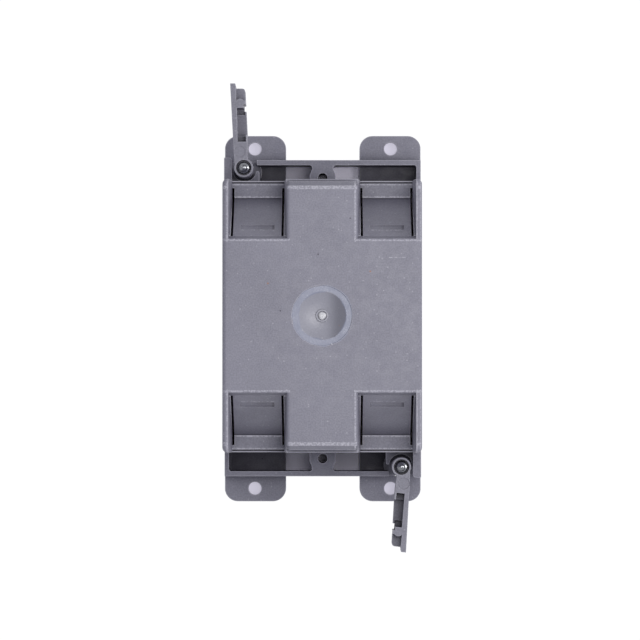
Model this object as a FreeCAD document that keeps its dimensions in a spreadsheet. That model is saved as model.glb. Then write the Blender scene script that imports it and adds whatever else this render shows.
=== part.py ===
"""A one-gang switch box for finished walls: a moulded box with four ears,
four sprung cable flaps, and two swing-out clamp wings on screws.

The front of the box lies on z = 0 and its back panel is at z = box_depth.
Upper means +Y and left means -X, as the box is seen from behind.
"""
import FreeCAD, Part

import math
import os
import re

import Sketcher

SIZES = {
    # moulded box, tapering towards its back panel
    "box_depth": 70.0,
    "front_width": 58.6,
    "front_length": 79.5,
    "side_taper": 1.2,
    "side_wall": 1.8,
    "panel_wall": 2.0,
    "corner_round": 1.5,
    "panel_side_round": 1.1,
    "panel_end_round": 1.6,
    "end_step_drop": 3.5,
    "end_step_inset": 0.75,
    # ears and end frames
    "ear_length": 14.95,
    "ear_width": 18.3,
    "ear_wall": 1.8,
    "ear_round": 3.9,
    "ear_hole": 3.85,
    "ear_hole_from_side": 9.0,
    "ear_hole_from_end": 3.85,
    "rail_gap": 7.15,
    "rail_wall": 1.5,
    "rail_height": 12.5,
    "window_round": 0.75,
    "web_width": 7.7,
    "web_neck": 6.3,
    "web_neck_length": 1.2,
    "web_flare": 1.7,
    "web_round": 2.0,
    "device_hole": 2.76,
    "device_hole_from_box": 1.9,
    # channel that guides each clamp wing
    "screw_from_side": 6.3,
    "screw_from_box": 3.87,
    "channel_width": 6.95,
    "channel_floor": 3.6,
    "channel_foot_wall": 1.1,
    "channel_height": 21.5,
    "channel_wall": 0.9,
    "post_rise": 6.5,
    "post_past_screw": 3.2,
    "guide_before_screw": 0.5,
    "post_round": 0.8,
    "guide_round": 0.45,
    # cable entries, one recess in each back corner
    "tongue_width": 20.1,
    "tongue_draft": 0.84,
    "guard_wall": 1.65,
    "guard_draft": 0.6,
    "recess_lean": 0.9,
    "recess_round": 1.0,
    "tongue_corner_round": 0.95,
    "end_bevel": 0.45,
    "lip_from_crest": 11.5,
    "lip_depth": 3.4,
    "lip_wall": 1.6,
    "ledge_depth": 21.0,
    "ledge_wall": 1.8,
    "ledge_groove_from_end": 1.6,
    "ledge_groove_width": 0.45,
    "ledge_groove_depth": 0.8,
    "crest_from_end": 5.75,
    "slot_past_crest": 2.9,
    "slot_width": 0.63,
    "cheek_wall": 1.4,
    "seat_wall": 1.4,
    # cable flaps
    "hinge_drop": 1.05,
    "hinge_round": 0.7,
    "hinge_clearance": 0.05,
    "flap_wall": 1.3,
    "flap_clearance": 0.1,
    "flap_foot_gap": 0.32,
    "pry_width": 9.6,
    "pry_length": 2.3,
    "pry_depth": 0.2,
    "pry_from_end": 3.8,
    # moulding gate in the middle of the back panel
    "gate_ring": 17.0,
    "gate_dish": 13.6,
    "gate_ring_depth": 0.15,
    "gate_dish_depth": 1.15,
    "gate_bead": 3.6,
    "gate_bead_wall": 0.5,
    "gate_bead_height": 0.35,
    "gate_bead_floor": 0.1,
    "gate_sprue": 2.0,
    "gate_sprue_height": 0.45,
    # clamp wings
    "wing_rise": 0.8,
    "wing_height": 10.0,
    "wing_reach": 24.6,
    "wing_root": 2.56,
    "wing_front_start": 1.85,
    "wing_back_root": 2.95,
    "wing_back_tip": 3.94,
    "wing_front_root": 1.12,
    "wing_front_tip": 0.35,
    "wing_toe": 1.44,
    "wing_plate_reach": 23.3,
    "wing_plate_round": 0.9,
    "wing_plate_start": 19.6,
    "wing_plate_drop": 3.0,
    "rib_root": 1.25,
    "rib_tip": 1.75,
    "pocket_start": 9.6,
    "pocket_end": 17.5,
    "pocket_depth": 6.6,
    "step_length": 2.0,
    "step_depth": 4.2,
    "well_length": 1.65,
    "well_depth": 8.2,
    "lip_wall_wing": 0.45,
    "lip_drop": 5.0,
    "notch_start": 16.8,
    "notch_end": 18.5,
    "notch_width": 0.55,
    "boss_clearance": 0.695,
    "boss_counterbore": 4.5,
    "counterbore_depth": 2.4,
    "eject_mark": 3.4,
    "eject_mark_across": 1.17,
    "eject_mark_along": 4.7,
    "eject_mark_depth": 0.12,
    "eject_pad": 2.62,
    "eject_pad_across": 1.08,
    "eject_pad_along": 18.85,
    # how far the lower wing has swung from straight out towards folded
    "wing_swing": 6.1,
    # clamp screws
    "screw": 3.5,
    "screw_past_wing": 0.7,
    "screw_point": 1.2,
    "screw_point_width": 0.9,
    "screw_head": 6.8,
    "screw_head_height": 2.3,
    "screw_head_sink": 0.3,
    "screw_head_round": 0.7,
    "screw_slot_width": 1.1,
    "screw_slot_length": 4.6,
    "screw_slot_depth": 1.3,
    "head_clearance": 0.3,
    "thread_clearance": 0.05,
}

# places and sizes that follow from the driving ones
DERIVED = {
    "back_width": "front_width - 2 * side_taper",
    "back_length": "front_length - 2 * side_taper",
    "ear_reach": "front_length / 2 + ear_length",
    "ear_hole_across": "front_width / 2 - ear_hole_from_side",
    "ear_hole_along": "ear_reach - ear_hole_from_end",
    "rail_reach": "front_length / 2 + rail_gap",
    "device_hole_along": "front_length / 2 + device_hole_from_box",
    "screw_across": "front_width / 2 - screw_from_side",
    "screw_along": "front_length / 2 + screw_from_box",
    "post_height": "channel_height + post_rise",
    "post_reach": "screw_along + post_past_screw",
    "guide_reach": "screw_along - guide_before_screw",
    "recess_inside": "tongue_width / 2",
    "recess_outside": "back_width / 2 - guard_wall",
    "foot_inside": "recess_inside + tongue_draft",
    "foot_outside": "recess_outside - guard_draft",
    "ledge_level": "box_depth - ledge_depth",
    "lip_level": "box_depth - lip_depth",
    "crest_along": "front_length / 2 - crest_from_end",
    "slot_end": "crest_along + slot_past_crest",
    "lip_end": "crest_along - lip_from_crest",
    "recess_end": "lip_end - recess_lean",
    "hinge_level": "ledge_level - hinge_drop",
    "flap_foot": "crest_along - flap_foot_gap",
    "flap_end_level": "lip_level - flap_clearance",
    "flap_slope": "atan2(flap_end_level - ledge_level; flap_foot - lip_end)",
    "hinge_below_plate": "hinge_drop - flap_top * cos(flap_slope)",
    "hinge_along": "flap_foot - flap_top * sin(flap_slope) + hinge_below_plate / tan(flap_slope)",
    "flap_width": "foot_outside - foot_inside - 2 * slot_width",
    "flap_top": "hinge_round - hinge_clearance",
    "flap_reach": "(flap_end_level - hinge_level - flap_top * cos(flap_slope)) / sin(flap_slope)",
    "boss": "channel_width - 2 * boss_clearance",
    "wing_level": "channel_height + wing_rise",
    "step_start": "pocket_start - step_length",
    "well_start": "pocket_end - well_length",
    "screw_tip_level": "wing_level + wing_height + screw_past_wing",
}

# how far a cutting shape runs past the face that it cuts
PAST = 1.0

# how far a cutting face stays from another that would otherwise lie in its plane
HAIR = 0.0001

# an edge lies on a line or a level if it is nearer than this
NEAR = 0.01

# edges of corners and rims that are to be rounded are longer than this
LONG_EDGE = 5.0

# an axis is set with some angle before its real angle is bound
SOME_ANGLE = 45

doc = FreeCAD.newDocument("switch_box")
sheet = doc.addObject("Spreadsheet::Sheet", "Sizes")
for row, (alias, size) in enumerate(SIZES.items(), start=1):
    sheet.set(f"A{row}", alias)
    sheet.set(f"B{row}", str(size))
    sheet.setAlias(f"B{row}", alias)
doc.recompute()

NAME = re.compile(r"[a-z]+(?:_[a-z]+)*")


def formula(text):
    """The formula with each size's name as its cell of the sheet, and each derived name worked out."""
    def named(match):
        name = match[0]
        if name in DERIVED:
            return f"({formula(DERIVED[name])})"
        return "Sizes." + name if name in SIZES else name

    return NAME.sub(named, str(text))


def bind(item, values):
    """Tie an object's properties to formulas of the sizes."""
    for path, text in values.items():
        item.setExpression(path, formula(text))
    return item


def value(text):
    """What a formula of the sizes comes to, for a place that takes a plain number."""
    probe.setExpression("number", formula(text))
    probe.recompute()
    return probe.number


probe = doc.addObject("App::FeaturePython", "Probe")
probe.addProperty("App::PropertyFloat", "number")


# Part primitives and booleans

def block(name, x, y, z):
    """A box between two formulas on each axis."""
    item = doc.addObject("Part::Box", name)
    for axis, side, (low, high) in zip("xyz", ("Length", "Width", "Height"), (x, y, z)):
        bind(item, {"Placement.Base." + axis: low, side: f"({high}) - ({low})"})
    return item


def frustum(name, z, low_x, low_y, high_x, high_y):
    """A box whose four sides lean, from its rectangle at z[0] to the one at z[1]."""
    item = doc.addObject("Part::Wedge", name)
    item.Placement = FreeCAD.Placement(FreeCAD.Vector(), FreeCAD.Rotation(FreeCAD.Vector(1, 0, 0), 90))
    return bind(item, {
        "Ymin": z[0], "Ymax": z[1],
        "Xmin": low_x[0], "Xmax": low_x[1], "X2min": high_x[0], "X2max": high_x[1],
        "Zmin": f"-({low_y[1]})", "Zmax": f"-({low_y[0]})",
        "Z2min": f"-({high_y[1]})", "Z2max": f"-({high_y[0]})",
    })


def rod(name, radius, x, y, z):
    """An upright cylinder at x, y between two formulas of z."""
    item = doc.addObject("Part::Cylinder", name)
    return bind(item, {
        "Radius": radius, "Height": f"({z[1]}) - ({z[0]})",
        "Placement.Base.x": x, "Placement.Base.y": y, "Placement.Base.z": z[0],
    })


def cross_rod(name, radius, x, y, z):
    """A cylinder along X between two formulas of x, at y, z."""
    item = doc.addObject("Part::Cylinder", name)
    item.Placement = FreeCAD.Placement(FreeCAD.Vector(), FreeCAD.Rotation(FreeCAD.Vector(0, 1, 0), 90))
    return bind(item, {
        "Radius": radius, "Height": f"({x[1]}) - ({x[0]})",
        "Placement.Base.x": x[0], "Placement.Base.y": y, "Placement.Base.z": z,
    })


def fuse(name, items):
    """The items joined into one shape."""
    item = doc.addObject("Part::MultiFuse", name)
    item.Shapes = items
    item.Refine = True
    return item


def cut(name, base, tool):
    """The base with the tool taken away."""
    item = doc.addObject("Part::Cut", name)
    item.Base = base
    item.Tool = tool
    item.Refine = True
    return item


def common(name, first, second):
    """What two shapes share."""
    item = doc.addObject("Part::MultiCommon", name)
    item.Shapes = [first, second]
    return item


def fillet(name, base, choices):
    """Round edges of the base: each choice is a test of an edge's middle and size, with a radius."""
    doc.recompute()
    item = doc.addObject("Part::Fillet", name)
    item.Base = base
    edges = []
    for number, edge in enumerate(base.Shape.Edges, start=1):
        middle = edge.valueAt((edge.FirstParameter + edge.LastParameter) / 2)
        span = edge.BoundBox
        size = (span.XLength, span.YLength, span.ZLength)
        for test, radius in choices:
            if test(middle, size):
                edges.append((number, radius, radius))
                break
    item.Edges = edges
    return item


def turned(name, source):
    """A copy of a shape, turned half round about Z."""
    item = doc.addObject("Part::Feature", name)
    doc.recompute()
    item.Shape = source.Shape.copy()
    item.Placement = FreeCAD.Placement(
        FreeCAD.Vector(), FreeCAD.Rotation(FreeCAD.Vector(0, 0, 1), 180)
    ).multiply(item.Placement)
    return item


# Box body

CORNERS = ((-1, 1), (1, 1), (-1, -1), (1, -1))


def spread(side, near, far):
    """A span on one side of zero, from near to far."""
    return (near, far) if side > 0 else (f"-({far})", f"-({near})")


def half_width(level, inset="0"):
    """Half the box's width at a height, less an inset."""
    return f"(front_width - (front_width - back_width) * ({level}) / box_depth) / 2 - ({inset})"


def half_length(level, inset="0"):
    """Half the box's length at a height, less an inset."""
    return f"(front_length - (front_length - back_length) * ({level}) / box_depth) / 2 - ({inset})"


def both(half):
    """The two ends of a span that is centred on zero."""
    return f"-({half})", f"({half})"


def box_shell():
    """The outside of the box: a tapering block whose ends step in just below the back panel."""
    block_out = frustum(
        "shell_block", ("0", "box_depth"),
        both(half_width("0")), both(half_length("0")),
        both(half_width("box_depth")), both(half_length("box_depth")),
    )
    corners = fillet("shell_corners", block_out, [
        (lambda p, s: s[2] > value("box_depth") / 2, value("corner_round")),
    ])
    top = value("box_depth")
    rounded = fillet("shell_rim", corners, [
        (lambda p, s: abs(p.z - top) < NEAR, value("panel_side_round")),
    ])
    reach = "back_length / 2 - end_step_inset"
    beyond = f"front_length / 2 + {PAST}"
    steps = [
        block(f"end_step_{number}", both("recess_outside"), spread(side, reach, beyond),
              ("box_depth - end_step_drop", f"box_depth + {PAST}"))
        for number, side in enumerate((1, -1))
    ]
    return cut("box_shell", rounded, fuse("end_steps", steps))


def box_hollow():
    """The room for the switch, less the floors and cheeks of the four cable entries."""
    inner = "box_depth - panel_wall"
    room = frustum(
        "room", (f"-{PAST}", inner),
        both(half_width("0", "side_wall")), both(half_length("0", "side_wall")),
        both(half_width(inner, "side_wall")), both(half_length(inner, "side_wall")),
    )
    kept = []
    for number, (across, along) in enumerate(CORNERS):
        x = spread(across, "recess_inside - cheek_wall", "front_width / 2")
        kept.append(block(f"entry_{number}", x, spread(along, "lip_end", "front_length / 2"),
                          ("ledge_level - ledge_wall", "box_depth")))
        kept.append(block(f"entry_lip_{number}", x, spread(along, "lip_end - lip_wall", "lip_end"),
                          ("lip_level", "box_depth")))
        kept.append(block(f"entry_seat_{number}", x, spread(along, "hinge_along", "crest_along + seat_wall"),
                          ("hinge_level - hinge_round", "ledge_level")))
    return cut("box_hollow", room, fuse("entry_walls", kept))


def cable_entries():
    """What the four cable entries take from the box: recess, flap window and relief slots."""
    tools = []
    lean = "lip_depth / ledge_depth"
    window_start = f"lip_end - lip_wall - {PAST}"
    far = "front_length"
    # windows and slots go through the ledge, from a level well below it
    through = ("ledge_level / 2", f"ledge_level + {PAST}")
    for number, (across, along) in enumerate(CORNERS):
        top_x = spread(across, "recess_inside", "recess_outside")
        lip_x = spread(across, f"recess_inside + tongue_draft * {lean}",
                       f"recess_outside - guard_draft * {lean}")
        foot_x = spread(across, "foot_inside", "foot_outside")
        window_x = spread(across, f"foot_inside + {HAIR}", f"foot_outside - {HAIR}")
        recess = frustum(
            f"recess_{number}", ("ledge_level", "box_depth"),
            foot_x, spread(along, "lip_end", far), top_x, spread(along, "lip_end", far),
        )
        # beside the flap a strip of each wall's foot slopes as the flap does
        inner_end = f"lip_end - {PAST}"
        all_x = spread(across, "0", "front_width")
        strips = frustum(
            f"strips_{number}", (f"ledge_level - {PAST}", "flap_end_level"),
            all_x, spread(along, inner_end, f"flap_foot + {PAST} / tan(flap_slope)"),
            all_x, spread(along, inner_end, "lip_end"),
        )
        recess = cut(f"recess_above_{number}", recess, strips)
        slope = frustum(
            f"recess_slope_{number}", ("lip_level", "box_depth"),
            lip_x, spread(along, "lip_end", far), top_x, spread(along, "recess_end", far),
        )
        window = block(f"window_{number}", window_x, spread(along, window_start, "crest_along"),
                       (through[0], "lip_level"))
        seat = cross_rod(f"seat_{number}", "hinge_round + hinge_clearance", window_x,
                         f"{along} * hinge_along", "hinge_level")
        slots = [
            block(f"slot_{side}_{number}", spread(across, near, away),
                  spread(along, "hinge_along", "slot_end"), through)
            for side, near, away in (("inside", "foot_inside", "foot_inside + slot_width"),
                                     ("outside", "foot_outside - slot_width", "foot_outside"))
        ]
        groove_y = spread(along, "front_length / 2 - ledge_groove_from_end",
                          "front_length / 2 - ledge_groove_from_end + ledge_groove_width")
        groove = block(f"ledge_groove_{number}", foot_x, groove_y,
                       ("ledge_level - ledge_groove_depth", f"ledge_level + {PAST}"))
        tools += [recess, slope, window, seat, groove] + slots
    return fuse("cable_entries", tools)


def gate_mark():
    """The round gate mark: a flat ring, and in it a shallow dish with a bead and a sprue stub."""
    ring = rod("gate_ring", "gate_ring / 2", "0", "0",
               ("box_depth - gate_ring_depth", f"box_depth + {PAST}"))
    ball = doc.addObject("Part::Sphere", "gate_ball")
    radius = "((gate_dish / 2) ^ 2 + gate_dish_depth ^ 2) / (2 * gate_dish_depth)"
    centre = f"box_depth - gate_ring_depth - gate_dish_depth + {radius}"
    bind(ball, {"Radius": radius, "Placement.Base.z": centre})
    return fuse("gate_hollow", [ring, ball])


def gate_bead():
    """The small bead round the sprue stub, and the stub."""
    high = "box_depth - gate_ring_depth - gate_dish_depth"
    low = f"(box_depth - panel_wall + {high}) / 2"
    outer = rod("bead_outer", "gate_bead / 2", "0", "0", (low, f"{high} + gate_bead_height"))
    inner = rod("bead_inner", "gate_bead / 2 - gate_bead_wall", "0", "0",
                (f"{high} + gate_bead_floor", f"{high} + {PAST}"))
    stub = rod("sprue_stub", "gate_sprue / 2", "0", "0", (low, f"{high} + gate_sprue_height"))
    return fuse("gate_bead", [cut("bead_ring", outer, inner), stub])


def end_frame():
    """The frame at the upper end: two ears, rail, web, side wall, posts and clamp channel."""
    wall_line = half_length("rail_height", "side_wall / 2")
    left_ear = ear("left", -1, wall_line)
    right_ear = ear("right", 1, wall_line)
    channel_right = "channel_width / 2 - screw_across"
    channel_left = "-channel_width / 2 - screw_across"
    rail = block("rail", (channel_right, "front_width / 2"), ("rail_reach - rail_wall", "rail_reach"),
                 ("0", "rail_height"))
    side = block("frame_side", ("front_width / 2 - rail_wall", "front_width / 2"), (wall_line, "rail_reach"),
                 ("0", "rail_height"))
    web = web_plate(wall_line)
    floor = block("channel_floor", ("-front_width / 2", "-screw_across"), (wall_line, "rail_reach"),
                  ("0", "channel_floor"))
    foot = common(
        "channel_foot",
        rod("foot_round", "screw_head / 2 + head_clearance + channel_foot_wall", "-screw_across",
            "screw_along", ("0", "channel_floor")),
        block("foot_reach", ("-front_width / 2", "0"), (wall_line, "rail_reach"), ("0", "channel_floor")),
    )
    guide = block("channel_guide", ("-front_width / 2", f"{channel_right} + channel_wall"),
                  (wall_line, "guide_reach"), ("0", "channel_height"))
    post = block("channel_post", ("-front_width / 2", channel_left), (wall_line, "post_reach"),
                 ("0", "post_height"))
    guides = fillet("channel_posts", fuse("channel_walls", [guide, post]), [
        (lambda p, s: s[2] > LONG_EDGE and p.y > value("post_reach") - NEAR, value("post_round")),
        (lambda p, s: s[2] > LONG_EDGE and p.y > value("guide_reach") - NEAR, value("guide_round")),
    ])
    rail_line = value("rail_reach - rail_wall")
    rail_end = value(channel_right)
    walls = fuse("frame_walls", [left_ear, right_ear, rail, side, web, floor, foot])
    solid = fillet("frame_solid", walls, [
        (lambda p, s: s[2] > LONG_EDGE and abs(p.y - rail_line) < NEAR < p.x - rail_end,
         value("window_round")),
    ])
    beyond = f"ear_reach + {PAST}"
    envelope = frustum(
        "frame_envelope", ("0", "box_depth"),
        both(half_width("0")), ("0", beyond), both(half_width("box_depth")), ("0", beyond),
    )
    trimmed = common("frame_trimmed", fuse("frame_whole", [solid, guides]), envelope)
    bore_top = ("channel_floor", f"post_height + {PAST}")
    channel = [
        rod("channel_round", "channel_width / 2", "-screw_across", "screw_along", bore_top),
        block("channel_mouth", (channel_left, channel_right), ("screw_along", "ear_reach"), bore_top),
        rod("screw_hole", "screw / 2 + thread_clearance", "-screw_across", "screw_along",
            (f"-{PAST}", f"channel_floor + {PAST}")),
        rod("head_seat", "screw_head / 2 + head_clearance", "-screw_across", "screw_along",
            (f"-{PAST}", "screw_head_sink + screw_head_height")),
        rod("device_hole", "device_hole / 2", "0", "device_hole_along",
            (f"-{PAST}", f"rail_height + {PAST}")),
    ]
    return cut("end_frame", trimmed, fuse("channel", channel))


def ear(name, side, wall_line):
    """One ear: a flat plate from the box's end wall outwards, with its screw hole."""
    plate = block(f"ear_plate_{name}", spread(side, "front_width / 2 - ear_width", "front_width / 2"),
                  (wall_line, "ear_reach"), ("0", "ear_wall"))
    reach = value("ear_reach")
    rounded = fillet(f"ear_rounded_{name}", plate, [
        (lambda p, s: s[2] > NEAR and abs(p.y - reach) < NEAR, value("ear_round")),
    ])
    hole = rod(f"ear_hole_{name}", "ear_hole / 2", f"{side} * ear_hole_across", "ear_hole_along",
               (f"-{PAST}", f"ear_wall + {PAST}"))
    return cut(f"ear_{name}", rounded, hole)


def web_plate(wall_line):
    """The web that carries the device screw: a broad foot at the box, narrowing to a neck at the rail."""
    neck_line = "rail_reach - rail_wall - web_neck_length"
    foot_line = f"{neck_line} - web_flare"
    foot = block("web_foot", both("web_width / 2"), (wall_line, foot_line), ("0", "rail_height"))
    flare = doc.addObject("Part::Wedge", "web_taper")
    bind(flare, {
        "Ymin": foot_line, "Ymax": neck_line, "Zmin": "0", "Zmax": "rail_height",
        "Z2min": "0", "Z2max": "rail_height", "Xmin": "-web_width / 2", "Xmax": "web_width / 2",
        "X2min": "-web_neck / 2", "X2max": "web_neck / 2",
    })
    neck = block("web_neck", both("web_neck / 2"), (neck_line, "rail_reach - rail_wall / 2"),
                 ("0", "rail_height"))
    lines = value(foot_line), value(neck_line)

    def bend(p, s):
        return s[2] > LONG_EDGE and min(abs(p.y - line) for line in lines) < NEAR

    return fillet("web_plate", fuse("web_solid", [foot, flare, neck]), [(bend, value("web_round"))])


def box_body():
    """The whole moulding."""
    frame = end_frame()
    solid = fuse("box_solid", [box_shell(), frame, turned("end_frame_lower", frame)])
    hollow = fuse("box_cuts", [box_hollow(), cable_entries(), gate_mark()])
    opened = cut("box_opened", solid, hollow)
    doc.recompute()
    body = fuse("box_body", [finished_edges(opened), gate_bead()])
    return body


def finished_edges(base):
    """Round the tongue's long edges and bevel the inner ends of the recesses."""
    top = value("box_depth")
    inside = value("recess_inside")
    end = value("recess_end")
    end_edge = value("back_length / 2 - end_step_inset")

    def tongue_side(p, s):
        return abs(p.z - top) < NEAR and abs(abs(p.x) - inside) < NEAR and s[1] > LONG_EDGE

    def tongue_end(p, s):
        return abs(p.z - top) < NEAR and abs(abs(p.y) - end_edge) < NEAR and s[0] > LONG_EDGE

    def tongue_corner(p, s):
        near_end = abs(abs(p.y) - end_edge) < NEAR and abs(p.x) < inside + value("tongue_draft")
        return near_end and s[2] > value("end_step_drop") - 1 and s[0] < 1

    def recess_end(p, s):
        return abs(p.z - top) < NEAR and abs(abs(p.y) - end) < NEAR and s[0] > LONG_EDGE

    return fillet("box_edges", base, [
        (tongue_side, value("recess_round")),
        (tongue_end, value("panel_end_round")),
        (tongue_corner, value("tongue_corner_round")),
        (recess_end, value("end_bevel")),
    ])


# PartDesign bodies

def new_body(name):
    """An empty body."""
    body = doc.addObject("PartDesign::Body", name)
    body.Label = name
    return body


def sketch_on(body, role, name, level="0"):
    """A sketch on one of the body's own planes, raised by a formula."""
    sketch = body.newObject("Sketcher::SketchObject", name)
    plane = next(p for p in body.Origin.OriginFeatures if p.Role == role)
    sketch.AttachmentSupport = [(plane, "")]
    sketch.MapMode = "FlatFace"
    bind(sketch, {"AttachmentOffset.Base.z": level})
    return sketch


def outline(sketch, points):
    """Draw a closed outline through the points and tie each to its formulas."""
    spots = [FreeCAD.Vector(value(x), value(y), 0) for x, y in points]
    count = len(spots)
    for index, spot in enumerate(spots):
        sketch.addGeometry(Part.LineSegment(spot, spots[(index + 1) % count]))
    for index in range(count):
        sketch.addConstraint(Sketcher.Constraint("Coincident", index, 2, (index + 1) % count, 1))
    for index, (x, y) in enumerate(points):
        for kind, text, number in (("DistanceX", x, spots[index].x), ("DistanceY", y, spots[index].y)):
            place = sketch.addConstraint(Sketcher.Constraint(kind, -1, 1, index, 1, number))
            sketch.setExpression(f"Constraints[{place}]", formula(text))
    return sketch


def ring_outline(sketch, radius, x="0", y="0"):
    """Draw a circle and tie its centre and radius to formulas."""
    centre = FreeCAD.Vector(value(x), value(y), 0)
    sketch.addGeometry(Part.Circle(centre, FreeCAD.Vector(0, 0, 1), value(radius)))
    for kind, text, number in (("DistanceX", x, centre.x), ("DistanceY", y, centre.y)):
        place = sketch.addConstraint(Sketcher.Constraint(kind, -1, 1, 0, 3, number))
        sketch.setExpression(f"Constraints[{place}]", formula(text))
    place = sketch.addConstraint(Sketcher.Constraint("Radius", 0, value(radius)))
    sketch.setExpression(f"Constraints[{place}]", formula(radius))
    return sketch


def pad(body, sketch, length, symmetric=False):
    """Raise a sketch into a solid."""
    item = body.newObject("PartDesign::Pad", sketch.Name + "_pad")
    item.Profile = sketch
    item.SideType = "Symmetric" if symmetric else "One side"
    return bind(item, {"Length": length})


def pocket(body, sketch, depth, reverse=False):
    """Cut a sketch downwards out of the body, or upwards if reversed."""
    item = body.newObject("PartDesign::Pocket", sketch.Name + "_pocket")
    item.Profile = sketch
    item.Reversed = reverse
    return bind(item, {"Length": depth})


def rectangle(x, y):
    """The four corners between two formulas on each axis."""
    return [(x[0], y[0]), (x[1], y[0]), (x[1], y[1]), (x[0], y[1])]


def cable_flap(name, across, along):
    """One cable flap: a plate from its hinge roll up to the lip of the back panel, with a pry pocket."""
    body = new_body(name)
    away = -along
    plate = sketch_on(body, "XY_Plane", name + "_plate", "flap_top - flap_wall")
    outline(plate, rectangle(both("flap_width / 2"), ("0", f"{away} * flap_reach")))
    pad(body, plate, "flap_wall")
    roll = ring_outline(sketch_on(body, "YZ_Plane", name + "_roll"), "hinge_round")
    pad(body, roll, "flap_width", symmetric=True)
    mark = sketch_on(body, "XY_Plane", name + "_pry", "flap_top")
    near = f"({away} * (flap_reach - pry_from_end))"
    far = f"({away} * (flap_reach - pry_from_end - pry_length))"
    outline(mark, rectangle(both("pry_width / 2"), (near, far)))
    pocket(body, mark, "pry_depth")
    turn = FreeCAD.Rotation(FreeCAD.Vector(1, 0, 0), SOME_ANGLE)
    body.Placement = FreeCAD.Placement(FreeCAD.Vector(), turn)
    bind(body, {
        "Placement.Rotation.Angle": f"{-along} * flap_slope",
        "Placement.Base.x": f"{across} * (foot_inside + foot_outside) / 2",
        "Placement.Base.y": f"{along} * hinge_along",
        "Placement.Base.z": "hinge_level",
    })
    return body


def front_line(along):
    """How far across a wing's front face is, at a distance from its screw."""
    fall = f"(wing_front_root - wing_front_tip) * (({along}) - step_start) / (wing_plate_reach - step_start)"
    return f"(wing_front_root - {fall})"


def rib_line(along):
    """How far across the inner face of a wing's rib is, at a distance from its screw."""
    share = f"(({along}) - boss) / (wing_reach - boss)"
    lean = f"(wing_back_tip - wing_back_root) * {share}"
    return f"(rib_root + (rib_tip - rib_root) * {share} - wing_back_root - {lean})"


def wing(name, side):
    """One clamp wing, with its screw's axis at the origin and its clamping face at z = 0."""
    body = new_body(name)
    boss = "boss / 2"
    top = "wing_height"
    beyond = f"wing_front_root + {PAST}"
    arm = sketch_on(body, "XY_Plane", name + "_arm")
    outline(arm, [
        ("-wing_root", "0"), ("-wing_back_root", "boss"), ("-wing_back_tip", "wing_reach"),
        ("-wing_back_tip + wing_toe", "wing_reach"), ("-wing_back_tip + rib_tip", "wing_plate_reach"),
        ("wing_front_tip", "wing_plate_reach"), ("wing_front_root", "step_start"),
        ("wing_front_root", "wing_front_start"), ("0", "0"),
    ])
    pad(body, arm, top)
    pad(body, ring_outline(sketch_on(body, "XY_Plane", name + "_boss"), boss), top)

    plate = sketch_on(body, "XY_Plane", name + "_plate", top)
    plate_x = ("-wing_back_tip + rib_tip", beyond)
    outline(plate, rectangle(plate_x, ("wing_plate_start", f"wing_reach + {PAST}")))
    pocket(body, plate, "wing_plate_drop")

    raised = ring_outline(sketch_on(body, "XY_Plane", name + "_pad"), "eject_pad / 2",
                          "-eject_pad_across", "eject_pad_along")
    pad(body, raised, top)

    # the web's open middle, with a shallow step at its root end and a deep well at its tip end
    sunk = sketch_on(body, "XY_Plane", name + "_hollow", top)
    outline(sunk, [
        (rib_line("pocket_start"), "pocket_start"), (beyond, "pocket_start"),
        (beyond, "pocket_end"), (rib_line("pocket_end"), "pocket_end"),
    ])
    pocket(body, sunk, "pocket_depth")
    for role in ("step", "well"):
        start = f"{role}_start"
        end = f"{role}_start + {role}_length"
        floor = sketch_on(body, "XY_Plane", f"{name}_{role}", top)
        outline(floor, [
            (rib_line(start), start), (f"{front_line(start)} - lip_wall_wing", start),
            (f"{front_line(end)} - lip_wall_wing", end), (rib_line(end), end),
        ])
        pocket(body, floor, f"{role}_depth")

    lowered = sketch_on(body, "XY_Plane", name + "_lowered", top)
    outline(lowered, rectangle(("wing_front_tip - lip_wall_wing", beyond), ("pocket_end", "notch_end")))
    pocket(body, lowered, "lip_drop")

    notch = sketch_on(body, "XY_Plane", name + "_notch", top)
    notch_x = (front_line("notch_start") + " - notch_width", beyond)
    outline(notch, rectangle(notch_x, ("notch_start", "notch_end")))
    pocket(body, notch, f"wing_height + {PAST}")

    mark = ring_outline(sketch_on(body, "XY_Plane", name + "_eject", top), "eject_mark / 2",
                        "-eject_mark_across", "eject_mark_along")
    pocket(body, mark, "eject_mark_depth")

    wide_bore = ring_outline(sketch_on(body, "XY_Plane", name + "_counterbore", top), "boss_counterbore / 2")
    pocket(body, wide_bore, "counterbore_depth")
    bore = ring_outline(sketch_on(body, "XY_Plane", name + "_bore", top), "screw / 2 + thread_clearance")
    last = pocket(body, bore, f"wing_height + {PAST}")
    doc.recompute()

    corner = value("wing_front_tip"), value("wing_plate_reach")
    edge = next(
        f"Edge{number}" for number, e in enumerate(last.Shape.Edges, start=1)
        if e.BoundBox.ZLength > LONG_EDGE and e.BoundBox.XLength + e.BoundBox.YLength < NEAR
        and math.dist((e.CenterOfMass.x, e.CenterOfMass.y), corner) < NEAR
    )
    rounded = body.newObject("PartDesign::Fillet", name + "_round")
    rounded.Base = (last, [edge])
    bind(rounded, {"Radius": "wing_plate_round"})
    turn = FreeCAD.Rotation(FreeCAD.Vector(0, 0, 1), SOME_ANGLE)
    body.Placement = FreeCAD.Placement(FreeCAD.Vector(), turn)
    bind(body, {
        "Placement.Rotation.Angle": "0" if side > 0 else "180 - wing_swing",
        "Placement.Base.x": f"{-side} * screw_across",
        "Placement.Base.y": f"{side} * screw_along",
        "Placement.Base.z": "wing_level",
    })
    return body


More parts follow.
